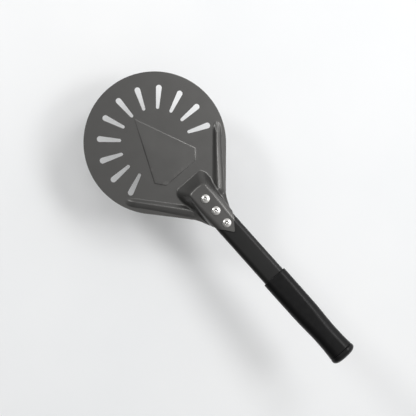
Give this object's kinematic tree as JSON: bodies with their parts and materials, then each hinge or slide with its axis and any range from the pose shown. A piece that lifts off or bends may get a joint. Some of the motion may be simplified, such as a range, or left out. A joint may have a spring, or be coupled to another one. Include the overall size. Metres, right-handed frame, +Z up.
{
  "type": "pizza turning peel",
  "caption": "Round slotted metal turning peel with a pressed neck riveted to a flat tube handle and a soft grip, for turning pizzas in an oven.",
  "frame": {"origin": "centre of the round blade, on the raised centre panel's flat top face", "axes": "+X from the blade along the handle, +Y across it, +Z up out of the face that carries the pizza"},
  "size_m": [0.4396, 0.1778, 0.0673],
  "materials": {
    "anodised_sheet": "hard-anodised warm dark grey, fine matte",
    "anodised_tube": "black anodised satin",
    "stainless": "polished stainless steel",
    "nylon": "moulded black nylon",
    "zinc_steel": "zinc-plated steel",
    "soft_grip": "soft-touch black, finely grained",
    "cap_plastic": "satin black plastic"
  },
  "bodies": {
    "root": {"blade": "anodised_sheet", "handle_tube": "anodised_tube", "tube_front_plug": "nylon", "rivet_body_1": "stainless", "rivet_body_2": "stainless", "rivet_body_3": "stainless", "rivet_mandrel_1": "stainless", "rivet_mandrel_2": "stainless", "rivet_mandrel_3": "stainless", "grip_core": "nylon", "grip_core_screw": "zinc_steel", "grip_sleeve": "soft_grip", "end_cap": "cap_plastic"}
  },
  "joints": []
}
